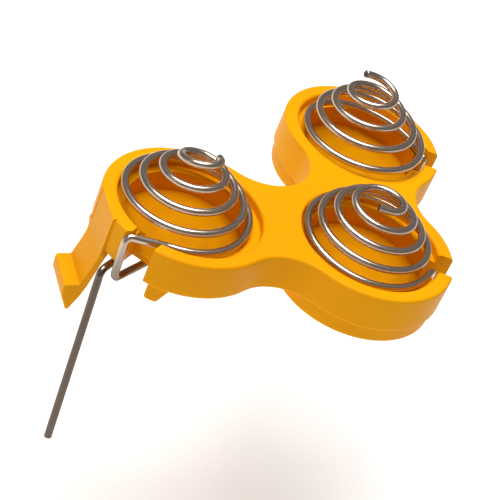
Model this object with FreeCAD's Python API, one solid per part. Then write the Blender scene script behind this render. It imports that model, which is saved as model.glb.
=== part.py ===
"""Three-cell battery contact carrier: one moulding, one double spring and one spring with a lead.

Millimetres. +Z is up, along the springs. The origin is on the corner lobe's axis, on the plate's
underside. +Y runs from the corner lobe to the far lobe.
"""
import FreeCAD, Part

import math
import os

V = FreeCAD.Vector

# layout of the three lobes
pair_pitch = 15.1        # corner lobe to far lobe
lead_pitch = 15.7        # corner lobe to lead lobe
lead_azimuth = 187.2     # direction of the lead lobe seen from the corner lobe, degrees

# moulded plate
recess_r = 6.1           # spring recess
rim_w = 1.3              # rim left around a recess
web_bridge = 0.25        # half the gap from the far to the lead lobe, to the radius of the hollows between lobes
plate_t = 3.4
edge_round = 0.25        # outer edges of the plate, and the skirts' lower edges
mouth_round = 0.3        # rounded mouth of a recess
ledge_depth = 0.9        # from the top face to the ledge that the lowest coil rests on
ledge_w = 0.85
floor_t = 0.55

# skirts under the corner and far lobes, and the tooth beside the lead lobe's slot
collar_step = 0.3        # the skirt stands this far inside the lobe's wall
collar_wall = 1.0
collar_h = 1.5
tooth_w = 1.9
tooth_slope = 0.85       # how much narrower its foot is
tooth_gap = 0.35         # from the lead slot's side to the tooth
tooth_round = 0.3

# slots that let the wire out of the recesses
slot_w = 2.4
slot_reach = 0.9         # how far a slot runs in from the recess wall
pair_slot_azimuth = -7.0
lead_slot_azimuth = 238.6
groove_gap = 0.12        # wire to the side of the groove it leaves a recess by

# wire
wire_d = 0.65
seat_clear = 0.02        # wire to the ledge under it
coil_in = 0.4            # lowest coil's centre line to the recess wall
seat_turn = 0.3          # turns of the lowest coil that count as the spring's fixed end
ease_turns = 0.35        # turns over which a coil starts to climb
tail_run = 0.8           # straight run from the lowest coil before the tail is steered
steer_bend_r = 2.0
drop_bend_r = 0.5        # where a tail turns down, and again under the plate
pair_bend_r = 0.8
hairpin_bend_r = 0.9
tilt_azimuth = 256.0     # direction in which the last coils stand highest
cut_gap = 0.05           # between two lengths of one wire that move apart
link_drop = 0.22         # plate's underside to the wire below it
link_x = 3.8             # the double spring's straight link, from the lobes' axes
link_clear = 0.28        # link to the sides of its channel

# snap arm on the lead lobe, measured outwards from the lobe's axis and across
arm_azimuth = 197.0      # direction that its outer face looks
arm_flat_in = 0.18       # its outer face at the root, inside the lobe's wall
arm_low = -1.4
arm_high = 2.4
arm_t = 0.75
arm_upright = 0.6        # the arm hangs straight down this far, then leans out
arm_ledge_z = -3.75
arm_lean = 0.75          # how far the face has moved out at the ledge
gusset_r = 1.1           # hollow that widens the root on one side
barb_out = 1.25
barb_fall = 0.1          # the barb's top slopes down outwards
barb_side_h = 1.25       # its upright outer side
barb_nose_in = 0.85      # from that side to the end of the drafted nose
barb_nose_t = 0.35
arm_tip_z = -6.55
arm_gap = 0.12           # carrier to the arm's root

wire_r = wire_d / 2
lobe_r = recess_r + rim_w
arm_flat = lobe_r - arm_flat_in
well_r = recess_r - ledge_w
collar_r = lobe_r - collar_step
coil_r = recess_r - coil_in
ledge_z = plate_t - ledge_depth
seat_z = ledge_z + wire_r + seat_clear
link_z = -link_drop - wire_r

corner = V(0, 0, 0)
far = V(0, pair_pitch, 0)
lead = V(lead_pitch * math.cos(math.radians(lead_azimuth)), lead_pitch * math.sin(math.radians(lead_azimuth)), 0)

web_fillet_r = (far - lead).Length / 2 - lobe_r + web_bridge

# One entry per spring. hand is 1 where it climbs counter-clockwise, start the azimuth of its first point,
# end the straight cut end. With s from 0 at the start to 1 at the end of its turns, the radius is
# coil_r * (1 + a s + b s^2 + c s^3) for narrowing (a, b, c), and climb gives the height over the seat alike.
# The coils lean: their centre moves off the lobe's axis by the first pair plus s times the second. The last
# coils dip by tilt away from tilt_azimuth.
springs = {
    "corner": dict(at=corner, hand=-1, start=-36.0, turns=4.12, tip_turns=0.6, end=0.3, tilt=0.0,
                   narrowing=(-0.425, -0.469, 0.145), climb=(4.22, 1.1, -0.93), lean=((-0.16, 0.4), (-0.185, 0.148))),
    "far": dict(at=far, hand=1, start=22.0, turns=4.28, tip_turns=0.5, end=0.35, tilt=0.1,
                narrowing=(-0.148, -1.456, 0.873), climb=(9.16, -7.59, 4.8), lean=((0.15, -0.77), (-0.99, 0.25))),
    "lead": dict(at=lead, hand=1, start=268.0, turns=4.3, tip_turns=0.6, end=0.15, tilt=0.6,
                 narrowing=(-0.414, -1.011, 0.655), climb=(5.71, -1.48, 1.31), lean=((-0.62, 0.35), (0.167, -0.148))),
}

# where the tails turn down: outwards along the slot's middle from the recess wall, and across
corner_drop = (-0.359, -0.401)
far_drop = (0.058, 0.707)
lead_drop = (1.429, -1.2)
lead_drop_rise = 0.35    # the lead's tail climbs this much to its bend
lead_foot_out = 0.9      # and its drop leans out this far

# the lead's run under the plate, from the lead lobe's axis, and its long leg
hairpin = (V(-1.79, -2.85, 0), V(-3.0, -1.28, 0))
knee = V(-5.95, -6.05, 0)
leg_end = V(-5.93, -9.85, -15.8)


def polar(centre, radius, azimuth, z=0.0):
    a = math.radians(azimuth)
    return V(centre.x + radius * math.cos(a), centre.y + radius * math.sin(a), z)


def disc(centre, radius, height, z=0.0):
    return Part.makeCylinder(radius, height, V(centre.x, centre.y, z), V(0, 0, 1))


def save(shape, name):
    shape.exportStep(f"parts/{name}.step")
    print(name, round(shape.Volume, 2), shape.isValid(), len(shape.Solids))


# ---- the plate's outline: three lobes joined by hollow fillets ----


def hollow_centre(a, b):
    """Centre of the hollow arc that touches the lobes at a and b, on the right of a to b."""
    run = b - a
    side = V(run.y, -run.x, 0).normalize()
    reach = math.sqrt((lobe_r + web_fillet_r) ** 2 - (run.Length / 2) ** 2)
    return (a + b) / 2 + side * reach


def arc_between(centre, radius, start, end, turn):
    """Arc about centre from start to end, turning the way of turn."""
    a0 = math.atan2(start.y - centre.y, start.x - centre.x)
    a1 = math.atan2(end.y - centre.y, end.x - centre.x)
    sweep = (a1 - a0) * turn % (2 * math.pi)
    mid = a0 + turn * sweep / 2
    middle = V(centre.x + radius * math.cos(mid), centre.y + radius * math.sin(mid), 0)
    return Part.Arc(start, middle, end).toShape()


def plate():
    centres = [lead, corner, far]
    hollows = [hollow_centre(centres[i], centres[(i + 1) % 3]) for i in range(3)]
    edges = []
    for i, centre in enumerate(centres):
        before = centre + (hollows[i - 1] - centre).normalize() * lobe_r
        after = centre + (hollows[i] - centre).normalize() * lobe_r
        following = centres[(i + 1) % 3]
        landing = following + (hollows[i] - following).normalize() * lobe_r
        edges.append(arc_between(centre, lobe_r, before, after, 1))
        edges.append(arc_between(hollows[i], web_fillet_r, after, landing, -1))
    solid = Part.Face(Part.Wire(edges)).extrude(V(0, 0, plate_t))
    flat_edges = [e for e in solid.Edges if abs(e.BoundBox.ZMax - e.BoundBox.ZMin) < 1e-6]
    return solid.makeFillet(edge_round, flat_edges)


# ---- the moulded carrier ----


def recess(centre):
    """Recess with a ledge and a rounded mouth."""
    top = disc(centre, recess_r, ledge_depth, ledge_z)
    well = disc(centre, well_r, plate_t - floor_t, floor_t)
    foot, lip = V(recess_r, 0, plate_t - mouth_round), V(recess_r + mouth_round, 0, plate_t)
    middle = V(recess_r + mouth_round * (1 - math.sqrt(0.5)), 0, plate_t - mouth_round * (1 - math.sqrt(0.5)))
    edges = [Part.Arc(foot, middle, lip).toShape(), Part.makeLine(lip, V(0, 0, plate_t))]
    edges += [Part.makeLine(V(0, 0, plate_t), V(0, 0, foot.z)), Part.makeLine(V(0, 0, foot.z), foot)]
    mouth = Part.Face(Part.Wire(edges)).revolve(V(0, 0, 0), V(0, 0, 1), 360)
    mouth.translate(centre)
    return top.fuse([well, mouth])


def slot(centre, azimuth):
    """Straight-sided slot through the wall, the floor's edge and the skirt."""
    start = recess_r - slot_reach
    length = lobe_r - start + collar_step
    box = Part.makeBox(length, slot_w, plate_t + collar_h, V(start, -slot_w / 2, -collar_h))
    box.rotate(V(0, 0, 0), V(0, 0, 1), azimuth)
    box.translate(centre)
    return box


def drop_point(centre, azimuth, drop):
    """Point above which a tail turns down, on the plate's underside."""
    out, across = drop
    side = polar(V(0, 0, 0), across, azimuth + 90)
    return polar(centre, recess_r + out, azimuth) + side


def groove(start, drop):
    """Straight groove through the recess wall, down to the ledge, that the tail leaves by."""
    run = V(drop.x - start.x, drop.y - start.y, 0)
    half = wire_r + groove_gap
    box = Part.makeBox(run.Length + half, 2 * half, ledge_depth, V(0, -half, ledge_z))
    box.rotate(V(0, 0, 0), V(0, 0, 1), math.degrees(math.atan2(run.y, run.x)))
    box.translate(V(start.x, start.y, 0))
    return box


def collar(centre):
    blank = disc(centre, collar_r, collar_h + edge_round, -collar_h)
    foot = [e for e in blank.Edges if e.BoundBox.ZMax < 0]
    ring = blank.makeFillet(edge_round, foot)
    return ring.cut(disc(centre, collar_r - collar_wall, collar_h, -collar_h))


def tooth():
    """Short length of skirt beside the lead lobe's slot, with its far side sloped and its foot rounded."""
    half = tooth_w / 2
    outline = [(-half, edge_round), (-half, -collar_h), (half - tooth_slope, -collar_h), (half, edge_round)]
    side = Part.Face(Part.makePolygon([V(0, y, z) for y, z in outline + outline[:1]]))
    prism = side.extrude(V(lobe_r, 0, 0))
    foot = [e for e in prism.Edges if e.BoundBox.ZMax < -collar_h + tooth_round and e.Length > collar_wall * 2]
    prism = prism.makeFillet(tooth_round, foot)
    first = lead_slot_azimuth + math.degrees(math.asin((slot_w / 2 + tooth_gap + half) / collar_r))
    prism.rotate(V(0, 0, 0), V(0, 0, 1), first)
    prism.translate(lead)
    ring = disc(lead, collar_r, collar_h + edge_round, -collar_h)
    return ring.cut(disc(lead, collar_r - collar_wall, collar_h, -collar_h)).common(prism)


def link_channel():
    """Groove across both skirts for the double spring's straight link."""
    width = wire_d + 2 * link_clear
    return Part.makeBox(width, pair_pitch, collar_h, V(link_x - width / 2, 0, -collar_h))


def arm_frame(shape):
    """Moves a shape drawn with the arm's outward direction along +X to the lead lobe."""
    shape.rotate(V(0, 0, 0), V(0, 0, 1), arm_azimuth)
    shape.translate(lead)
    return shape


def arm_flat_cut():
    return arm_frame(Part.makeBox(lobe_r, arm_high - arm_low, plate_t, V(arm_flat, arm_low, 0)))


def arm_root():
    """Block that carries the arm, flush with its outer face."""
    block = Part.makeBox(arm_t, arm_high - arm_low, plate_t, V(arm_flat - arm_t, arm_low, 0))
    rim = [e for e in block.Edges if e.BoundBox.XMin > arm_flat - edge_round and e.BoundBox.ZMin > plate_t - edge_round]
    return arm_frame(block.makeFillet(edge_round, rim))


def carrier():
    body = plate().cut(arm_flat_cut())
    body = body.fuse([collar(corner), collar(far), tooth(), arm_root()])
    cuts = [recess(centre) for centre in (corner, far, lead)]
    cuts += [slot(corner, pair_slot_azimuth), slot(far, pair_slot_azimuth), slot(lead, lead_slot_azimuth)]
    cuts += [groove(coil_point(springs["far"], 0), drop_point(far, pair_slot_azimuth, far_drop))]
    cuts += [groove(coil_point(springs["lead"], 0), drop_point(lead, lead_slot_azimuth, lead_drop))]
    cuts += [link_channel()]
    return body.cut(cuts).removeSplitter()


# ---- the snap arm ----


def arm_gusset():
    """Hollow-sided piece that widens the arm's root, its face in line with the lobe's wall."""
    block = Part.makeBox(lobe_r, gusset_r, gusset_r, V(arm_flat - arm_t, arm_low - gusset_r, -arm_gap - gusset_r))
    hollow = Part.makeCylinder(gusset_r, 2 * lobe_r, V(0, arm_low - gusset_r, -arm_gap - gusset_r), V(1, 0, 0))
    return arm_frame(block.cut(hollow)).common(disc(lead, lobe_r, gusset_r + arm_gap, -gusset_r - arm_gap))


def snap_arm():
    """Arm with a barb: an up-facing ledge, an upright side, a drafted nose and a round tip."""
    ledge_in = arm_flat + arm_lean
    side_x = ledge_in + barb_out
    nose_x = side_x - barb_nose_in
    nose_z = arm_tip_z + barb_nose_t / 2
    outline = [
        V(arm_flat, 0, -arm_gap),
        V(arm_flat, 0, -arm_upright),
        V(ledge_in, 0, arm_ledge_z),
        V(side_x, 0, arm_ledge_z - barb_fall),
        V(side_x, 0, arm_ledge_z - barb_side_h),
        V(nose_x, 0, nose_z),
    ]
    inner = [
        V(nose_x - barb_nose_t, 0, nose_z),
        V(ledge_in - arm_t, 0, arm_ledge_z),
        V(arm_flat - arm_t, 0, -arm_upright),
        V(arm_flat - arm_t, 0, -arm_gap),
    ]
    edges = [Part.makeLine(outline[i], outline[i + 1]) for i in range(len(outline) - 1)]
    nose = V(nose_x - barb_nose_t / 2, 0, arm_tip_z)
    edges.append(Part.Arc(outline[-1], nose, inner[0]).toShape())
    edges += [Part.makeLine(inner[i], inner[i + 1]) for i in range(len(inner) - 1)]
    edges.append(Part.makeLine(inner[-1], outline[0]))
    side = Part.Face(Part.Wire(edges))
    side.translate(V(0, arm_low, 0))
    blade = arm_frame(side.extrude(V(0, arm_high - arm_low, 0)))
    return blade.fuse(arm_gusset()).removeSplitter()


# ---- wire ----


def rounded_path(points, bends):
    """Straight runs joined by tangent arcs, one bend radius per corner; a short run limits the arcs beside it."""
    edges = []
    at = points[0]
    for before, corner_point, after, bend in zip(points, points[1:], points[2:], bends):
        back = before - corner_point
        ahead = after - corner_point
        half = back.getAngle(ahead) / 2
        trim = min(bend / math.tan(half), 0.45 * min(back.Length, ahead.Length))
        radius = trim * math.tan(half)
        start = corner_point + back.normalize() * trim
        end = corner_point + ahead.normalize() * trim
        inward = (back + ahead).normalize()
        middle = corner_point + inward * (radius / math.sin(half) - radius)
        edges.append(Part.makeLine(at, start))
        edges.append(Part.Arc(start, middle, end).toShape())
        at = end
    edges.append(Part.makeLine(at, points[-1]))
    return edges


def swept(edges):
    """Round wire along a path of edges."""
    path = Part.Wire(edges)
    first = edges[0]
    start = first.valueAt(first.FirstParameter)
    direction = first.tangentAt(first.FirstParameter)
    circle = Part.Wire(Part.Circle(start, direction, wire_r).toShape())
    return path.makePipeShell([circle], True, True)


def bent_run(edge):
    """Wire along one straight or one round bend, with a true cylinder or torus for its face."""
    start = edge.valueAt(edge.FirstParameter)
    ahead = edge.tangentAt(edge.FirstParameter)
    if isinstance(edge.Curve, Part.Line):
        return Part.makeCylinder(wire_r, edge.Length, start, ahead)
    section = Part.Face(Part.Wire(Part.Circle(start, ahead, wire_r).toShape()))
    middle = edge.Curve.Center
    turn = math.degrees(edge.Length / edge.Curve.Radius)
    return section.revolve(middle, (start - middle).cross(ahead), turn)


def coil_point(spring, turn):
    """Point of the coils' centre line, turn counted from the spring's start."""
    share = turn / spring["turns"]
    a, b, c = spring["narrowing"]
    radius = coil_r * (1 + share * (a + share * (b + share * c)))
    settled = min(turn / ease_turns, 1)
    a, b, c = spring["climb"]
    height = seat_z + settled ** 2 * (3 - 2 * settled) * share * (a + share * (b + share * c))
    azimuth = spring["start"] + spring["hand"] * 360 * turn
    height += spring["tilt"] * share ** 4 * math.cos(math.radians(azimuth - tilt_azimuth))
    (x, y), (more_x, more_y) = spring["lean"]
    centre = spring["at"] + V(x + more_x * share, y + more_y * share, 0)
    return polar(centre, radius, azimuth, height)


def coil_curve(spring, first, last):
    """Smooth curve through the coils from one turn to another."""
    count = max(8, int(16 * (last - first)))
    curve = Part.BSplineCurve()
    curve.interpolate([coil_point(spring, first + (last - first) * i / count) for i in range(count + 1)])
    return curve.toShape()


def climbing_turns(spring):
    gap = cut_gap / (2 * math.pi * coil_r)
    return swept([coil_curve(spring, seat_turn + gap, spring["turns"] - spring["tip_turns"] - gap)])


def tip_coil(spring):
    """The last coil and the short straight end of the wire."""
    curve = coil_curve(spring, spring["turns"] - spring["tip_turns"], spring["turns"])
    end = curve.valueAt(curve.LastParameter)
    ahead = curve.tangentAt(curve.LastParameter) * spring["end"]
    return swept([curve, Part.makeLine(end, end + ahead)])


def seat_curve(spring, towards_tail=False):
    """The first part of the lowest coil, drawn from the tail or towards it."""
    count = 8
    points = [coil_point(spring, seat_turn * i / count) for i in range(count + 1)]
    curve = Part.BSplineCurve()
    curve.interpolate(points[::-1] if towards_tail else points)
    return curve.toShape()


def tail_start(spring):
    """First two points of a tail: the spring's start, and a run straight on from it."""
    curve = seat_curve(spring)
    start = curve.valueAt(curve.FirstParameter)
    return [start, start - curve.tangentAt(curve.FirstParameter) * tail_run]


def pair_spring_base():
    """First turns of the corner and far springs and the link between them: one bent wire."""
    far_top = drop_point(far, pair_slot_azimuth, far_drop)
    corner_top = drop_point(corner, pair_slot_azimuth, corner_drop)
    route = tail_start(springs["far"])
    route += [V(far_top.x, far_top.y, z) for z in (seat_z, link_z)]
    route += [V(link_x, far_top.y, link_z), V(link_x, corner_top.y, link_z)]
    route += [V(corner_top.x, corner_top.y, z) for z in (link_z, seat_z)]
    route += tail_start(springs["corner"])[::-1]
    bends = [steer_bend_r, drop_bend_r, drop_bend_r, pair_bend_r, pair_bend_r, drop_bend_r, drop_bend_r, steer_bend_r]
    return swept([seat_curve(springs["far"], True)] + rounded_path(route, bends) + [seat_curve(springs["corner"])])


def lead_spring_base():
    """First turn, the drop outside the wall, the hairpin under the plate and the long leg."""
    under = V(0, 0, link_z)
    top = drop_point(lead, lead_slot_azimuth, lead_drop)
    route = tail_start(springs["lead"])
    route += [top + V(0, 0, seat_z + lead_drop_rise), top + V(0, -lead_foot_out, link_z)]
    route += [lead + point + under for point in hairpin] + [lead + knee + under, lead + leg_end]
    bends = [steer_bend_r, drop_bend_r, drop_bend_r, hairpin_bend_r, hairpin_bend_r, hairpin_bend_r]
    runs = [bent_run(edge) for edge in rounded_path(route, bends)]
    return runs[0].fuse(runs[1:] + [swept([seat_curve(springs["lead"])])])


def main():
    os.makedirs("parts", exist_ok=True)
    save(carrier(), "carrier")
    save(snap_arm(), "snap_arm")
    save(pair_spring_base(), "pair_spring_base")
    save(lead_spring_base(), "lead_spring_base")
    for name, spring in springs.items():
        save(climbing_turns(spring), f"{name}_coils")
        save(tip_coil(spring), f"{name}_tip")


main()
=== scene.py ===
import math

import bpy
import numpy as np
from mathutils import Matrix, Vector


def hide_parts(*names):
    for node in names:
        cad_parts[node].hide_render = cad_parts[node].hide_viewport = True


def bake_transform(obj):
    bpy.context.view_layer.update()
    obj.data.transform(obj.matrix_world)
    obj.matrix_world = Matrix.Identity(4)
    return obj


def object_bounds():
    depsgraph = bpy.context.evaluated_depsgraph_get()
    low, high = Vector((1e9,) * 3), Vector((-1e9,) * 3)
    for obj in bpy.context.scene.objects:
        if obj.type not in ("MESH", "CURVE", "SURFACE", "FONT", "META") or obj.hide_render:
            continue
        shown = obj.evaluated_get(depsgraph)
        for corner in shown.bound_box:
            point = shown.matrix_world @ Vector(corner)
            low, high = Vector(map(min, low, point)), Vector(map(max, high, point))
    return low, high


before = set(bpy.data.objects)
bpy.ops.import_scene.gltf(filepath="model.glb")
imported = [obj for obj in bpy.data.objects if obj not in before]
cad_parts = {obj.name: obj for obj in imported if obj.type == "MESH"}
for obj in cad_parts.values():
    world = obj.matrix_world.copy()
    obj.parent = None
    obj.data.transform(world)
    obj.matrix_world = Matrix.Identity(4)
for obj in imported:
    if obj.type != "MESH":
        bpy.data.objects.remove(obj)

cadLow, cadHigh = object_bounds()
mm = 0.001

# the carrier's layout, in millimetres, that the wire and the arm are built on
lobes = {
    "corner": np.array([0.0, 0.0]),
    "far": np.array([0.0, 15.1]),
    "lead": 15.7 * np.array([math.cos(math.radians(187.2)), math.sin(math.radians(187.2))]),
    "recessRadius": 6.1,
    "wallRadius": 7.4,
    "coilRadius": 5.7,
    "seatZ": 2.845,        # middle of the wire of the lowest turn
}

wire = {
    "radius": 0.325,
    "around": 26,          # points in one ring
    "ringStep": 0.13,      # millimetres of wire from ring to ring
    "linkZ": -0.545,       # the wire's runs under the plate
    "endBevel": 0.05,
    "sharp": 35,           # degrees between faces, above which an edge is crisp
}


def unit(v):
    return v / np.linalg.norm(v, axis=-1, keepdims=True)


def smoothStep(x):
    # three times the square less twice the cube, between 0 and 1
    x = np.clip(x, 0, 1)
    return x * x * (3 - 2 * x)


def polar(centre, radius, azimuth, z):
    # centre + radius * (cosine, sine) of the azimuth in degrees, at height z
    a = np.radians(azimuth)
    x = centre[0] + radius * np.cos(a)
    y = centre[1] + radius * np.sin(a)
    return np.stack(np.broadcast_arrays(x, y, z), -1)


def resample(line, step):
    # the same line with its points an equal length of wire apart
    lengths = np.linalg.norm(np.diff(line, axis=0), axis=1)
    along = np.concatenate([[0], np.cumsum(lengths)])
    even = np.linspace(0, along[-1], int(along[-1] / step) + 1)
    return np.stack([np.interp(even, along, line[:, i]) for i in range(3)], -1), even


def bentLine(route, bends, points=17):
    # straight runs joined by arcs, with one bend radius per corner:
    # start of arc + radius * (sin(turn * f) * incoming + (1 - cos(turn * f)) * inward)
    route = np.array(route, float)
    runs = np.diff(route, axis=0)
    lengths = np.linalg.norm(runs, axis=1)
    ways = unit(runs)
    incoming, outgoing = ways[:-1], ways[1:]
    turn = np.arccos(np.clip((incoming * outgoing).sum(1), -1, 1))
    longest = 0.45 * np.minimum(lengths[:-1], lengths[1:])      # so two arcs never share a run
    trim = np.minimum(np.array(bends) * np.tan(turn / 2), longest)
    radius = trim / np.tan(turn / 2)
    inward = unit(outgoing - np.cos(turn)[:, None] * incoming)
    start = route[1:-1] - incoming * trim[:, None]
    angle = turn[:, None, None] * np.linspace(0, 1, points)[None, :, None]
    bow = np.sin(angle) * incoming[:, None] + (1 - np.cos(angle)) * inward[:, None]
    arcs = start[:, None] + radius[:, None, None] * bow
    return np.concatenate([route[:1], arcs.reshape(-1, 3), route[-1:]])


def gridObject(name, grid, along, around, sharp):
    # rows run along the piece and columns round it; every face joins four neighbours,
    # and the last two faces are the flat caps of the first and the last row
    rows, columns = grid.shape[:2]
    row, column = np.meshgrid(np.arange(rows - 1), np.arange(columns), indexing="ij")
    nextColumn = (column + 1) % columns
    quads = np.stack([row * columns + column, row * columns + nextColumn,
                      (row + 1) * columns + nextColumn, (row + 1) * columns + column], -1)
    ring = np.arange(columns)
    faces = quads.reshape(-1, 4).tolist()
    faces += [ring[::-1].tolist(), ((rows - 1) * columns + ring).tolist()]
    # the map holds the length round the piece and the length along it
    u = around / columns
    corners = ((column, row), (column + 1, row), (column + 1, row + 1), (column, row + 1))
    sides = np.stack([np.stack([c * u, along[r]], -1) for c, r in corners], -2)
    uvs = [sides.reshape(-1, 2),
           np.stack([ring[::-1] * u, np.full(columns, along[0])], -1),
           np.stack([ring * u, np.full(columns, along[-1])], -1)]
    mesh = bpy.data.meshes.new(name)
    mesh.from_pydata((grid.reshape(-1, 3) * mm).tolist(), [], faces)
    layer = mesh.uv_layers.new(name="surface")
    layer.uv.foreach_set("vector", np.concatenate(uvs).astype(np.float32).ravel())
    mesh.polygons.foreach_set("use_smooth", np.ones(len(faces), bool))
    mesh.set_sharp_from_angle(angle=math.radians(sharp))
    mesh.update()
    thing = bpy.data.objects.new(name, mesh)
    bpy.context.scene.collection.objects.link(thing)
    return thing


def wireGrid(line, sideways, bevelStart):
    # point = line + radius * (cos(u) * normal + sin(u) * binormal);
    # the normal leans up on level runs and sideways on steep ones
    line, along = resample(line, wire["ringStep"])
    way = unit(np.gradient(line, axis=0))
    steep = np.abs(way[:, 2:]) ** 2
    guide = (1 - steep) * np.array([0, 0, 1.0]) + steep * np.array(sideways, float)
    normal = unit(guide - (guide * way).sum(1, keepdims=True) * way)
    binormal = np.cross(way, normal)
    radius = np.full(len(line), wire["radius"])
    bevel = wire["endBevel"]
    narrow = [wire["radius"] - bevel]
    if bevelStart:
        line = np.concatenate([line[:1] - way[:1] * bevel, line])
        radius = np.concatenate([narrow, radius])
        normal = np.concatenate([normal[:1], normal])
        binormal = np.concatenate([binormal[:1], binormal])
        along = np.concatenate([along[:1] - bevel, along])
    line = np.concatenate([line, line[-1:] + way[-1:] * bevel])
    radius = np.concatenate([radius, narrow])[:, None, None]
    normal = np.concatenate([normal, normal[-1:]])[:, None]
    binormal = np.concatenate([binormal, binormal[-1:]])[:, None]
    along = np.concatenate([along, along[-1:] + bevel])
    u = np.linspace(0, 2 * np.pi, wire["around"], endpoint=False)[None, :, None]
    grid = line[:, None] + radius * (np.cos(u) * normal + np.sin(u) * binormal)
    return grid, line, along


def node(tree, kind, at, **values):
    made = tree.nodes.new(kind)
    made.location = at
    for name, value in values.items():
        if name in made.inputs:
            made.inputs[name].default_value = value
        else:
            setattr(made, name, value)
    return made


def newMaterial(name):
    material = bpy.data.materials.new(name)
    material.use_nodes = True
    tree = material.node_tree
    tree.nodes.clear()
    shader = node(tree, "ShaderNodeBsdfPrincipled", (300, 0))
    output = node(tree, "ShaderNodeOutputMaterial", (600, 0))
    tree.links.new(shader.outputs["BSDF"], output.inputs["Surface"])
    return material, tree, shader


def ramp(tree, at, stops):
    made = node(tree, "ShaderNodeValToRGB", at)
    elements = made.color_ramp.elements
    for i, (position, colour) in enumerate(stops):
        element = elements[i] if i < 2 else elements.new(position)
        element.position = position
        element.color = (*colour, 1)
    return made


def remap(tree, at, source, span, reach=(0.0, 1.0)):
    # the source's values over span, carried evenly onto reach
    made = node(tree, "ShaderNodeMapRange", at)
    made.inputs["From Min"].default_value, made.inputs["From Max"].default_value = span
    made.inputs["To Min"].default_value, made.inputs["To Max"].default_value = reach
    tree.links.new(source, made.inputs["Value"])
    return made


def addBump(tree, shader, height, depth):
    # depth is the bump's strength and its height in metres
    bump = node(tree, "ShaderNodeBump", (0, -300), Strength=depth[0], Distance=depth[1])
    tree.links.new(height, bump.inputs["Height"])
    tree.links.new(bump.outputs["Normal"], shader.inputs["Normal"])


def addMarks(tree, at, marks, values):
    group = node(tree, "ShaderNodeGroup", at, node_tree=marks)
    for name, value in values.items():
        group.inputs[name].default_value = value
    return group


def surfaceMarksGroup():
    # fine moulded or rolled grain, sparse soft smudges and a slow change of tone,
    # all read on whatever coordinates the material gives
    group = bpy.data.node_groups.new("surfaceMarks", "ShaderNodeTree")
    sides = group.interface
    sides.new_socket("Vector", in_out="INPUT", socket_type="NodeSocketVector")
    usual = {"Grain Scale": 2500.0, "Smudge Scale": 260.0, "Smudge Spread": 0.62}
    for name, value in usual.items():
        socket = sides.new_socket(name, in_out="INPUT", socket_type="NodeSocketFloat")
        socket.default_value = value
    for name in ("Grain", "Smudge", "Tone"):
        sides.new_socket(name, in_out="OUTPUT", socket_type="NodeSocketFloat")
    entry = node(group, "NodeGroupInput", (-600, 0))
    leave = node(group, "NodeGroupOutput", (500, 0))
    link = group.links.new
    grain = node(group, "ShaderNodeTexNoise", (-300, 200), Detail=3.0, Roughness=0.6)
    smudge = node(group, "ShaderNodeTexNoise", (-300, -50), Detail=5.0, Roughness=0.65)
    tone = node(group, "ShaderNodeTexNoise", (-300, -300), Scale=90.0, Detail=2.0, Roughness=0.5)
    for texture in (grain, smudge, tone):
        link(entry.outputs["Vector"], texture.inputs["Vector"])
    link(entry.outputs["Grain Scale"], grain.inputs["Scale"])
    link(entry.outputs["Smudge Scale"], smudge.inputs["Scale"])
    # only the noise above the spread shows as a smudge
    above = remap(group, (0, -50), smudge.outputs["Fac"], (0.0, 0.85))
    link(entry.outputs["Smudge Spread"], above.inputs["From Min"])
    link(grain.outputs["Fac"], leave.inputs["Grain"])
    link(above.outputs["Result"], leave.inputs["Smudge"])
    link(tone.outputs["Fac"], leave.inputs["Tone"])
    return group


amber = {
    "light": (0.93, 0.40, 0.0005),
    "deep": (0.89, 0.35, 0.0003),
    "smudge": (0.42, 0.16, 0.01),
    "smudgeAmount": 0.25,
    "marks": {"Grain Scale": 2600.0, "Smudge Scale": 420.0, "Smudge Spread": 0.64},
    "roughness": (0.34, 0.46),
    "grainDepth": (0.06, 0.00005),
    "specular": 0.06,
}


def amberPlastic(marks):
    # satin moulded plastic: slow drift between two ambers, fine grain, faint smudges
    material, tree, shader = newMaterial("amberPlastic")
    link = tree.links.new
    place = node(tree, "ShaderNodeTexCoord", (-1000, 0))
    group = addMarks(tree, (-800, 0), marks, amber["marks"])
    link(place.outputs["Object"], group.inputs["Vector"])
    drift = ramp(tree, (-550, 200), [(0.3, amber["deep"]), (0.7, amber["light"])])
    link(group.outputs["Tone"], drift.inputs["Fac"])
    dirt = node(tree, "ShaderNodeMix", (-200, 200), data_type="RGBA")
    dirt.inputs["B"].default_value = (*amber["smudge"], 1)
    amount = node(tree, "ShaderNodeMath", (-400, 0), operation="MULTIPLY")
    amount.inputs[1].default_value = amber["smudgeAmount"]
    link(group.outputs["Smudge"], amount.inputs[0])
    link(amount.outputs["Value"], dirt.inputs["Factor"])
    link(drift.outputs["Color"], dirt.inputs["A"])
    link(dirt.outputs["Result"], shader.inputs["Base Color"])
    rough = remap(tree, (-400, -200), group.outputs["Grain"], (0.0, 1.0), amber["roughness"])
    link(rough.outputs["Result"], shader.inputs["Roughness"])
    addBump(tree, shader, group.outputs["Grain"], amber["grainDepth"])
    shader.inputs["Specular IOR Level"].default_value = amber["specular"]
    return material


nickel = {
    "bright": (0.56, 0.44, 0.345),
    "dull": (0.36, 0.26, 0.195),
    "marks": {"Grain Scale": 3.5, "Smudge Scale": 0.9, "Smudge Spread": 0.5},
    # painted shade: the darker colour given to the wire below the plate, standing in for its shade
    # there
    "leg": (0.135, 0.103, 0.08),
    "shadeBelowFrom": (0.0024, -0.0012),          # heights, in metres, between which the painted shade below the plate takes over
    "lineStretch": (1.0, 0.03, 1.0),       # drawn lines run along the wire
    "lineSpan": (0.3, 0.7),
    "roughness": (0.16, 0.31),
    "drawnDepth": (0.1, 0.00003),
}


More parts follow.
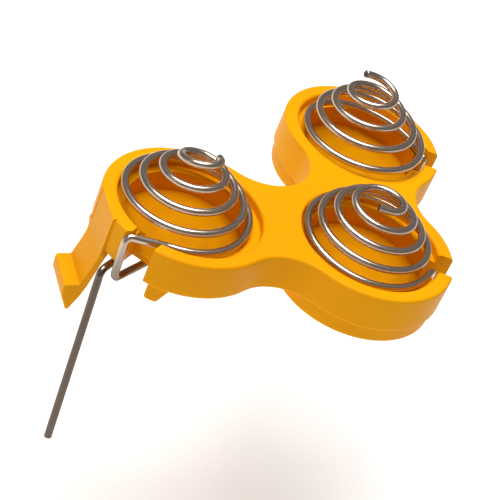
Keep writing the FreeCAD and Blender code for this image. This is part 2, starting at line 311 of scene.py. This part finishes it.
def nickelWire(marks):
    # drawn spring wire: lines from noise stretched along the wire, and slow changes of tarnish
    material, tree, shader = newMaterial("nickelWire")
    link = tree.links.new
    place = node(tree, "ShaderNodeUVMap", (-1300, 0), uv_map="surface")
    stretch = node(tree, "ShaderNodeMapping", (-1100, 0), Scale=nickel["lineStretch"])
    link(place.outputs["UV"], stretch.inputs["Vector"])
    lines = node(tree, "ShaderNodeTexNoise", (-850, -200), Scale=9.0, Detail=4.0, Roughness=0.7)
    link(stretch.outputs["Vector"], lines.inputs["Vector"])
    group = addMarks(tree, (-850, 200), marks, nickel["marks"])
    link(place.outputs["UV"], group.inputs["Vector"])
    tarnish = ramp(tree, (-500, 250), [(0.25, nickel["bright"]), (0.85, nickel["dull"])])
    link(group.outputs["Smudge"], tarnish.inputs["Fac"])
    # painted shade: the wire below the plate, the long leg most, is painted darker than the coils,
    # standing in for the shade under the plate
    spot = node(tree, "ShaderNodeTexCoord", (-1200, 600))
    split = node(tree, "ShaderNodeSeparateXYZ", (-1000, 600))
    link(spot.outputs["Object"], split.inputs["Vector"])
    low = remap(tree, (-800, 600), split.outputs["Z"], nickel["shadeBelowFrom"])
    underPlateShade = node(tree, "ShaderNodeMix", (-200, 350), data_type="RGBA")
    underPlateShade.inputs["B"].default_value = (*nickel["leg"], 1)
    link(low.outputs["Result"], underPlateShade.inputs["Factor"])
    link(tarnish.outputs["Color"], underPlateShade.inputs["A"])
    link(underPlateShade.outputs["Result"], shader.inputs["Base Color"])
    rough = remap(tree, (-400, -100), lines.outputs["Fac"], nickel["lineSpan"], nickel["roughness"])
    link(rough.outputs["Result"], shader.inputs["Roughness"])
    addBump(tree, shader, lines.outputs["Fac"], nickel["drawnDepth"])
    shader.inputs["Metallic"].default_value = 1.0
    return material


cutEnd = {
    "dark": (0.035, 0.027, 0.022),
    "pale": (0.16, 0.13, 0.11),
    "tornScale": 9000.0,
    "tornDepth": (0.3, 0.00003),
    "roughness": 0.6,
    "metallic": 0.6,
}


def cutWire():
    # sheared end of a wire: dark, matt, finely torn
    material, tree, shader = newMaterial("cutWire")
    link = tree.links.new
    place = node(tree, "ShaderNodeTexCoord", (-700, 0))
    torn = node(tree, "ShaderNodeTexNoise", (-500, 0), Scale=cutEnd["tornScale"], Detail=3.0)
    shade = ramp(tree, (-250, 100), [(0.3, cutEnd["dark"]), (0.75, cutEnd["pale"])])
    link(place.outputs["Object"], torn.inputs["Vector"])
    link(torn.outputs["Fac"], shade.inputs["Fac"])
    link(shade.outputs["Color"], shader.inputs["Base Color"])
    addBump(tree, shader, torn.outputs["Fac"], cutEnd["tornDepth"])
    shader.inputs["Roughness"].default_value = cutEnd["roughness"]
    shader.inputs["Metallic"].default_value = cutEnd["metallic"]
    return material


surfaceMarks = surfaceMarksGroup()
amberMaterial = amberPlastic(surfaceMarks)
nickelMaterial = nickelWire(surfaceMarks)
cutMaterial = cutWire()
print("materials made")


camera = {
    "azimuth": -14.40,
    "elevation": 36.595,
    "roll": 23.763,
    "target": (-10.648, -5.693, 3.4),
    "distance": 127.14,
    "lens": 116.15,
    "sensor": 36,
    "clip": (0.005, 10),
}


def placeCamera():
    # back points from the target to the camera; the roll turns the frame round it
    az, el, roll = (math.radians(camera[k]) for k in ("azimuth", "elevation", "roll"))
    back = Vector((math.sin(az) * math.cos(el), -math.cos(az) * math.cos(el), math.sin(el)))
    right = Vector((math.cos(az), math.sin(az), 0))
    up = back.cross(right)
    across = math.cos(roll) * right + math.sin(roll) * up
    upwards = -math.sin(roll) * right + math.cos(roll) * up
    eye = (Vector(camera["target"]) + back * camera["distance"]) * mm
    facing = Matrix((across, upwards, back)).transposed().to_4x4()
    data = bpy.data.cameras.new("camera")
    data.lens = camera["lens"]
    data.sensor_width = camera["sensor"]
    data.clip_start, data.clip_end = camera["clip"]
    thing = bpy.data.objects.new("camera", data)
    bpy.context.scene.collection.objects.link(thing)
    thing.matrix_world = Matrix.Translation(eye) @ facing
    bpy.context.scene.camera = thing


placeCamera()


# hand is the way a coil winds, start its azimuth, and end the straight bit after the last turn
springs = {
    "corner": {
        "hand": -1, "start": -36.0, "turns": 4.12, "tipTurns": 0.6, "end": 0.9,
        "narrowing": (-0.425, -0.469, 0.145), "climb": (4.22, 1.1, -0.93),
        "lean": ((-0.16, 0.4), (-0.185, 0.148)), "tilt": 0.0,
    },
    "far": {
        "hand": 1, "start": 22.0, "turns": 4.28, "tipTurns": 0.5, "end": 0.35,
        "narrowing": (-0.148, -1.456, 0.873), "climb": (9.16, -7.59, 4.8),
        "lean": ((0.15, -0.77), (-0.99, 0.25)), "tilt": 0.1,
    },
    "lead": {
        "hand": 1, "start": 268.0, "turns": 4.3, "tipTurns": 0.6, "end": 0.15,
        "narrowing": (-0.414, -1.011, 0.655), "climb": (5.71, -1.48, 1.31),
        "lean": ((-0.62, 0.35), (0.167, -0.148)), "tilt": 0.6,
    },
    "easeTurns": 0.35,
    "tiltTo": 256.0,       # the last coils dip away from this azimuth
    "tipRadius": 1.9,      # mean radius of the last coil
    "turnStep": 1 / 120,
}


def springLine(name):
    # with s the share of the turns done: radius = coil radius * (1 + cubic of s),
    # height = seat + eased cubic of s + tilt * s^4 * cosine of the azimuth, and the centre leans with s
    spring = springs[name]
    turn = np.arange(0, spring["turns"], springs["turnStep"])
    share = turn / spring["turns"]
    powers = share[:, None] ** np.arange(1, 4)
    radius = lobes["coilRadius"] * (1 + powers @ np.array(spring["narrowing"]))
    rise = smoothStep(turn / springs["easeTurns"]) * (powers @ np.array(spring["climb"]))
    azimuth = spring["start"] + spring["hand"] * 360 * turn
    dip = spring["tilt"] * share ** 4 * np.cos(np.radians(azimuth - springs["tiltTo"]))
    low, more = np.array(spring["lean"])
    centre = lobes[name] + low + more * share[:, None]
    line = polar(centre.T, radius, azimuth, lobes["seatZ"] + rise + dip)
    return np.concatenate([line, line[-1:] + unit(line[-1:] - line[-2:-1]) * spring["end"]])


# drops, hairpin and knee are measured from their lobe's axis; a drop in recess radii
tails = {
    "run": 0.8,            # straight wire before a coil starts
    "steerBend": 2.0,
    "dropBend": 0.5,
    "linkX": 3.8,
    "linkBend": 0.8,
    "hairpinBend": 0.9,
    "kneeBend": 0.6,
    "drop": {"corner": (0.926, -0.18), "far": (1.016, -0.008), "lead": (-0.811, -0.951)},
    "leadRise": 0.35,      # the lead's drop starts this far above the seat
    "leadFootOut": 0.9,    # and its foot stands this far out
    "hairpin": ((-1.79, -2.85), (-3.0, -1.28)),
    "knee": (-5.95, -6.05),
    "legEnd": (-5.93, -9.85, -15.8),
    "slotAzimuth": 83,
    "leadSide": (0.6, -0.8, 0),
}


def at3(centre, z):
    return np.array([centre[0], centre[1], z])


def tailLeave(name, coil):
    # the point that a tail's last straight run starts from, straight on from the coil's start
    a = math.radians(springs[name]["start"])
    return coil[0] + np.array([math.sin(a), -math.cos(a), 0]) * springs[name]["hand"] * tails["run"]


def pairTail(name, coil, meets):
    # half of the double spring's link, up through the slot to the coil's start
    under = wire["linkZ"]
    top = lobes[name] + lobes["recessRadius"] * np.array(tails["drop"][name])
    route = [at3((tails["linkX"], meets), under), at3((tails["linkX"], top[1]), under)]
    route += [at3(top, under), at3(top, lobes["seatZ"]), tailLeave(name, coil), coil[0]]
    drop = tails["dropBend"]
    return bentLine(route, [tails["linkBend"], drop, drop, tails["steerBend"]])


def leadTail(coil):
    # the long leg, the hairpin under the plate, the drop outside the wall
    # and the run in to the coil's start
    under, lobe = wire["linkZ"], lobes["lead"]
    top = lobe + lobes["recessRadius"] * np.array(tails["drop"]["lead"])
    leg = np.array(tails["legEnd"]) + at3(lobe, 0)
    route = [leg, at3(lobe + tails["knee"], under)]
    route += [at3(lobe + p, under) for p in tails["hairpin"][::-1]]
    route += [at3(top - [0, tails["leadFootOut"]], under)]
    route += [at3(top, lobes["seatZ"] + tails["leadRise"]), tailLeave("lead", coil), coil[0]]
    hairpin, drop = tails["hairpinBend"], tails["dropBend"]
    bends = [tails["kneeBend"], hairpin, hairpin, drop, drop, tails["steerBend"]]
    return bentLine(route, bends)


def makeWire(title, tail, coil, sideways, cutStart, stands):
    # a tail and its coil in one length of wire; both of its ends are capped,
    # and the cap is a cut face unless the start meets the other half of the link
    line = np.concatenate([tail[:-1], coil])
    grid, centre, along = wireGrid(line, sideways, cutStart)
    piece = gridObject(title, grid, along, 2 * np.pi * wire["radius"], wire["sharp"])
    piece.data.materials.append(nickelMaterial)
    piece.data.materials.append(cutMaterial)
    caps = np.zeros(len(piece.data.polygons), np.int32)
    caps[-1] = 1
    caps[-2] = 1 if cutStart else 0
    piece.data.polygons.foreach_set("material_index", caps)
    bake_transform(piece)
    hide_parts(*stands)


middle = (lobes["corner"][1] + lobes["far"][1]) / 2
slotAngle = math.radians(tails["slotAzimuth"])
slotSide = (math.cos(slotAngle), math.sin(slotAngle), 0)
coils = {name: springLine(name) for name in ("corner", "far", "lead")}
for title, name in (("cornerWire", "corner"), ("farWire", "far")):
    makeWire(title, pairTail(name, coils[name], middle), coils[name], slotSide, False,
             [name + "_coils", name + "_tip", "pair_spring_base"])
makeWire("leadWire", leadTail(coils["lead"]), coils["lead"], tails["leadSide"], True,
         ["lead_coils", "lead_tip", "lead_spring_base"])
print("wire pieces made")


# rows from the root down: height, inner face, outer face, near side, far side, corner rounding
# (distances out from the lead lobe's axis along the arm's azimuth, and across it)
snapArm = {
    "azimuth": 197.0,
    "rows": (
        (0.60, 6.55, 7.20, -1.36, 2.36, 0.10),
        (0.02, 6.50, 7.215, -1.38, 2.38, 0.10),
        (-0.10, 6.52, 7.22, -2.25, 2.40, 0.12),
        (-0.30, 6.56, 7.225, -1.98, 2.40, 0.12),
        (-0.60, 6.62, 7.25, -1.70, 2.40, 0.12),
        (-1.00, 6.72, 7.32, -1.50, 2.40, 0.12),
        (-1.40, 6.82, 7.42, -1.42, 2.40, 0.12),
        (-2.00, 6.94, 7.55, -1.40, 2.40, 0.12),
        (-2.90, 7.12, 7.78, -1.40, 2.40, 0.12),
        (-3.60, 7.26, 7.96, -1.40, 2.40, 0.12),
        (-3.70, 7.28, 8.02, -1.40, 2.40, 0.12),
        (-3.74, 7.29, 8.14, -1.40, 2.40, 0.12),
        (-3.78, 7.30, 8.70, -1.40, 2.40, 0.12),
        (-3.82, 7.31, 9.06, -1.40, 2.40, 0.12),
        (-3.86, 7.32, 9.16, -1.40, 2.40, 0.13),
        (-3.96, 7.34, 9.215, -1.40, 2.40, 0.14),
        (-4.30, 7.42, 9.22, -1.40, 2.40, 0.15),
        (-4.95, 7.62, 9.19, -1.40, 2.40, 0.15),
        (-5.10, 7.68, 9.14, -1.40, 2.40, 0.15),
        (-5.60, 7.88, 8.90, -1.40, 2.40, 0.15),
        (-6.20, 8.12, 8.62, -1.39, 2.39, 0.15),
        (-6.42, 8.20, 8.54, -1.36, 2.36, 0.14),
        (-6.50, 8.26, 8.47, -1.30, 2.30, 0.10),
        (-6.54, 8.32, 8.42, -1.22, 2.22, 0.04),
    ),
    "rootDraft": 0.4,      # how fast the widened root may leave the round wall
    "rootSide": -1.42,
    "fine": 5,             # rows made from each one above
    "side": 14,            # points along a side and round a corner
    "corner": 6,
    "length": 7,
    "girth": 9.0,
    "bendOut": 6.9,        # where the arm starts to bend, out from the lobe's axis
    "sharp": 30,
}


def armGrid():
    # each row is a rounded rectangle: corner centre + rounding * (cos v, sin v),
    # with straight sides between the four corners
    keys = np.array(snapArm["rows"])
    at = np.arange(len(keys))
    fine = np.linspace(0, len(keys) - 1, (len(keys) - 1) * snapArm["fine"] + 1)
    rows = np.stack([np.interp(fine, at, column) for column in keys.T], -1)
    z, inner, outer, low, high, r = rows.T[:, :, None]
    v = np.radians(np.linspace(0, 90, snapArm["corner"]))
    parts = []
    for sx, sy, turn in ((1, 1, 0), (-1, 1, 90), (-1, -1, 180), (1, -1, 270)):
        px = (outer - r if sx > 0 else inner + r) + r * np.cos(v + math.radians(turn))
        py = (high - r if sy > 0 else low + r) + r * np.sin(v + math.radians(turn))
        parts.append((px, py))
    x, y = [], []
    share = np.linspace(0, 1, snapArm["side"])[1:-1]
    for (px, py), (qx, qy) in zip(parts, parts[1:] + parts[:1]):
        x += [px, px[:, -1:] + (qx[:, :1] - px[:, -1:]) * share]
        y += [py, py[:, -1:] + (qy[:, :1] - py[:, -1:]) * share]
    x, y = np.concatenate(x, 1), np.concatenate(y, 1)
    # the widened root keeps within the lobe's round wall and moves out of it only further down
    draft = snapArm["rootDraft"] * np.clip(-z, 0, None)
    wall = np.sqrt(lobes["wallRadius"] ** 2 - y ** 2) + draft
    x = np.where(y < snapArm["rootSide"], np.minimum(x, wall), x)
    a = math.radians(snapArm["azimuth"])
    out = lobes["lead"][0] + x * math.cos(a) - y * math.sin(a)
    over = lobes["lead"][1] + x * math.sin(a) + y * math.cos(a)
    return np.stack(np.broadcast_arrays(out, over, z), -1)


def makeArm():
    grid = armGrid()[::-1]
    along = np.linspace(0, snapArm["length"], len(grid))
    piece = gridObject("armBlade", grid, along, snapArm["girth"], snapArm["sharp"])
    piece.data.materials.append(amberMaterial)
    a = math.radians(snapArm["azimuth"])
    root = lobes["lead"] + snapArm["bendOut"] * np.array([math.cos(a), math.sin(a)])
    root = Vector((*root, 0)) * mm
    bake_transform(piece)
    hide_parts("snap_arm")


makeArm()
print("snap arm made")


# the carrier is the CAD mesh itself
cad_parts["carrier"].material_slots[0].material = amberMaterial


studio = {
    "floorGap": 0.015,
    "floorReach": 3,
    "floor": {
        "Base Color": (0.94, 0.94, 0.94, 1),
        "Emission Color": (1, 1, 1, 1),
        "Emission Strength": 0.3,
        "Roughness": 0.9,
        "Specular IOR Level": 0.1,
    },
    "ambient": 0.22,
    "lights": {
        "overhead": {"at": (-0.06, 0.04, 0.30), "size": 0.26, "power": 1.15},
        "frontFill": {"at": (-0.05, -0.35, 0.12), "size": 0.25, "power": 0.02},
        "leftFill": {"at": (-0.35, -0.10, 0.10), "size": 0.25, "power": 0.05},
    },
}


def floorPaint():
    material, tree, shader = newMaterial("paleFloor")
    for name, value in studio["floor"].items():
        shader.inputs[name].default_value = value
    return material


def makeFloor():
    z = cadLow.z - studio["floorGap"]
    r = studio["floorReach"]
    mesh = bpy.data.meshes.new("floor")
    mesh.from_pydata([(-r, -r, z), (r, -r, z), (r, r, z), (-r, r, z)], [], [(0, 1, 2, 3)])
    floor = bpy.data.objects.new("floor", mesh)
    bpy.context.scene.collection.objects.link(floor)
    mesh.materials.append(floorPaint())


def makeLights():
    centre = (cadLow + cadHigh) / 2
    for name, spec in studio["lights"].items():
        data = bpy.data.lights.new(name, "AREA")
        data.shape = "DISK"
        data.size = spec["size"]
        data.energy = spec["power"]
        lamp = bpy.data.objects.new(name, data)
        bpy.context.scene.collection.objects.link(lamp)
        lamp.location = spec["at"]
        lamp.rotation_mode = "QUATERNION"
        lamp.rotation_quaternion = (centre - Vector(spec["at"])).to_track_quat("-Z", "Y")
    world = bpy.data.worlds.new("studio")
    world.use_nodes = True
    background = world.node_tree.nodes["Background"]
    background.inputs["Color"].default_value = (1, 1, 1, 1)
    background.inputs["Strength"].default_value = studio["ambient"]
    bpy.context.scene.world = world


makeFloor()
makeLights()
bpy.context.scene.view_settings.view_transform = "Standard"
print("stage made")
